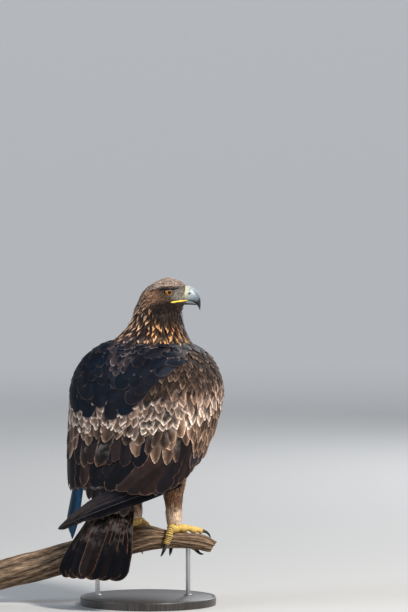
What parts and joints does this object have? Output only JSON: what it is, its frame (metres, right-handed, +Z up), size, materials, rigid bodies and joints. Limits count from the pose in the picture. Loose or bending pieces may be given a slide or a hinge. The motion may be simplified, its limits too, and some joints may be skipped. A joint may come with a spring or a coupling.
{
  "type": "golden eagle",
  "caption": "Still life-size golden eagle perched upright on a cut branch, head turned to its right, on a round base with rods.",
  "frame": {"origin": "centre of the base's underside, which is the level that the model stands on", "axes": "+Z up, -Y the way the bird's trunk faces, +X to the bird's left"},
  "size_m": [0.4698, 0.3638, 0.7206],
  "materials": {
    "plumage": "soft brown body feathers with paler edges",
    "hackles": "golden tawny lance-shaped feathers",
    "flight_feathers": "firm dark slate-brown vanes with a low sheen",
    "leg_feathers": "short rufous to buff feathers",
    "toe_skin": "yellow scaly skin",
    "talon": "black horn, polished",
    "cere": "pale yellow waxy skin",
    "bill": "blue-grey horn, black at the tip",
    "eye": "amber iris under a clear cornea",
    "bark": "weathered bare wood with lengthwise grooves",
    "base": "dark satin lacquer",
    "rod": "satin"
  },
  "bodies": {
    "root": {"head": "plumage", "neck": "hackles", "trunk": "plumage", "tail": "flight_feathers", "wing_left": "plumage", "wing_right": "plumage", "primaries_left": "flight_feathers", "primaries_right": "flight_feathers", "thigh_left": "leg_feathers", "thigh_right": "leg_feathers", "shank_left": "leg_feathers", "shank_right": "leg_feathers", "foot_left": "toe_skin", "foot_right": "toe_skin", "talon_hallux_left": "talon", "talon_inner_left": "talon", "talon_middle_left": "talon", "talon_outer_left": "talon", "talon_hallux_right": "talon", "talon_inner_right": "talon", "talon_middle_right": "talon", "talon_outer_right": "talon", "cere": "cere", "bill_upper": "bill", "bill_lower": "bill", "eye_left": "eye", "eye_right": "eye", "perch_branch": "bark", "stand_base": "base", "stand_rod_1": "rod", "stand_rod_2": "rod"}
  },
  "joints": []
}
